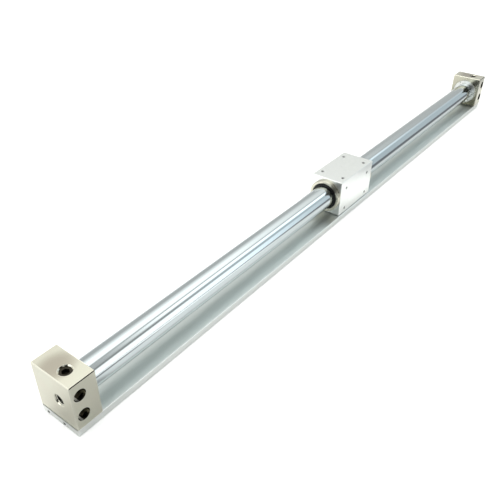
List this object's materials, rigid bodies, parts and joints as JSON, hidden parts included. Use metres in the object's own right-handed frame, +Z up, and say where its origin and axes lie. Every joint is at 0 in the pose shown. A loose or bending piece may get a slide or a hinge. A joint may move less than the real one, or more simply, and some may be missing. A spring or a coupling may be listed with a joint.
{
  "type": "rodless pneumatic cylinder",
  "caption": "Magnetically coupled rodless air cylinder: a carriage slides on a stainless tube between two end covers, over a sensor rail.",
  "frame": {"origin": "middle of the length and width, on the surface that the sensor rail's underside stands on", "axes": "+X along the stroke towards the right-hand end cover, +Y across the width, away from the side with the counterbores, +Z up"},
  "size_m": [0.742, 0.038, 0.0452],
  "materials": {
    "bright_stainless": "bright drawn stainless steel with faint lengthwise grain",
    "nickel_plated_aluminium": "electroless nickel plate, warm satin",
    "white_anodised_aluminium": "bead-blasted hard anodise, pale satin",
    "clear_anodised_aluminium": "extruded, clear anodised satin",
    "zinc_plated_steel": "bright zinc chromate",
    "black_oxide_steel": "black oxide, dull",
    "nickel_plated_magnet": "nickel plated sintered magnet",
    "nitrile_rubber": "moulded, matt black",
    "urethane_rubber": "amber urethane, satin",
    "bearing_resin": "ivory bearing resin",
    "oiled_felt": "dense oiled felt"
  },
  "bodies": {
    "frame": {"cylinder_tube": "bright_stainless", "left_end_cover": "nickel_plated_aluminium", "right_end_cover": "nickel_plated_aluminium", "left_attachment_ring": "bright_stainless", "right_attachment_ring": "bright_stainless", "left_tube_snap_ring": "black_oxide_steel", "right_tube_snap_ring": "black_oxide_steel", "left_tube_gasket": "nitrile_rubber", "right_tube_gasket": "nitrile_rubber", "left_bumper": "urethane_rubber", "right_bumper": "urethane_rubber", "left_port_plug": "black_oxide_steel", "right_port_plug": "black_oxide_steel", "sensor_rail": "clear_anodised_aluminium", "shielding_plate": "zinc_plated_steel", "rail_screws": "zinc_plated_steel"},
    "carriage": {"carriage_body": "white_anodised_aluminium", "left_collar": "nickel_plated_aluminium", "right_collar": "nickel_plated_aluminium", "left_scraper": "nitrile_rubber", "right_scraper": "nitrile_rubber", "left_lube_retainer": "oiled_felt", "right_lube_retainer": "oiled_felt", "left_carriage_wear_ring": "bearing_resin", "right_carriage_wear_ring": "bearing_resin", "left_stack_spacer": "zinc_plated_steel", "right_stack_spacer": "zinc_plated_steel", "sensor_magnets": "nickel_plated_magnet", "outer_magnet_1": "nickel_plated_magnet", "outer_magnet_2": "nickel_plated_magnet", "outer_magnet_3": "nickel_plated_magnet", "outer_magnet_4": "nickel_plated_magnet", "outer_yoke_1": "zinc_plated_steel", "outer_yoke_2": "zinc_plated_steel", "outer_yoke_3": "zinc_plated_steel", "outer_yoke_4": "zinc_plated_steel", "outer_yoke_5": "zinc_plated_steel"},
    "piston": {"piston_shaft": "bright_stainless", "left_piston": "white_anodised_aluminium", "right_piston": "white_anodised_aluminium", "left_piston_seal": "nitrile_rubber", "right_piston_seal": "nitrile_rubber", "left_piston_wear_ring": "bearing_resin", "right_piston_wear_ring": "bearing_resin", "left_piston_nut": "zinc_plated_steel", "right_piston_nut": "zinc_plated_steel", "inner_magnet_1": "nickel_plated_magnet", "inner_magnet_2": "nickel_plated_magnet", "inner_magnet_3": "nickel_plated_magnet", "inner_magnet_4": "nickel_plated_magnet", "inner_yoke_1": "zinc_plated_steel", "inner_yoke_2": "zinc_plated_steel", "inner_yoke_3": "zinc_plated_steel", "inner_yoke_4": "zinc_plated_steel", "inner_yoke_5": "zinc_plated_steel"}
  },
  "joints": [
    {"name": "carriage_slide", "type": "slide", "parent": "frame", "child": "carriage", "axis": [1, 0, 0], "range_m": [-0.3065, 0.3185]},
    {"name": "piston_slide", "type": "slide", "parent": "frame", "child": "piston", "axis": [1, 0, 0], "range_m": [-0.3065, 0.3185]}
  ],
  "couplings": [
    {"joint": "piston_slide", "follows": "carriage_slide", "ratio": 1}
  ]
}
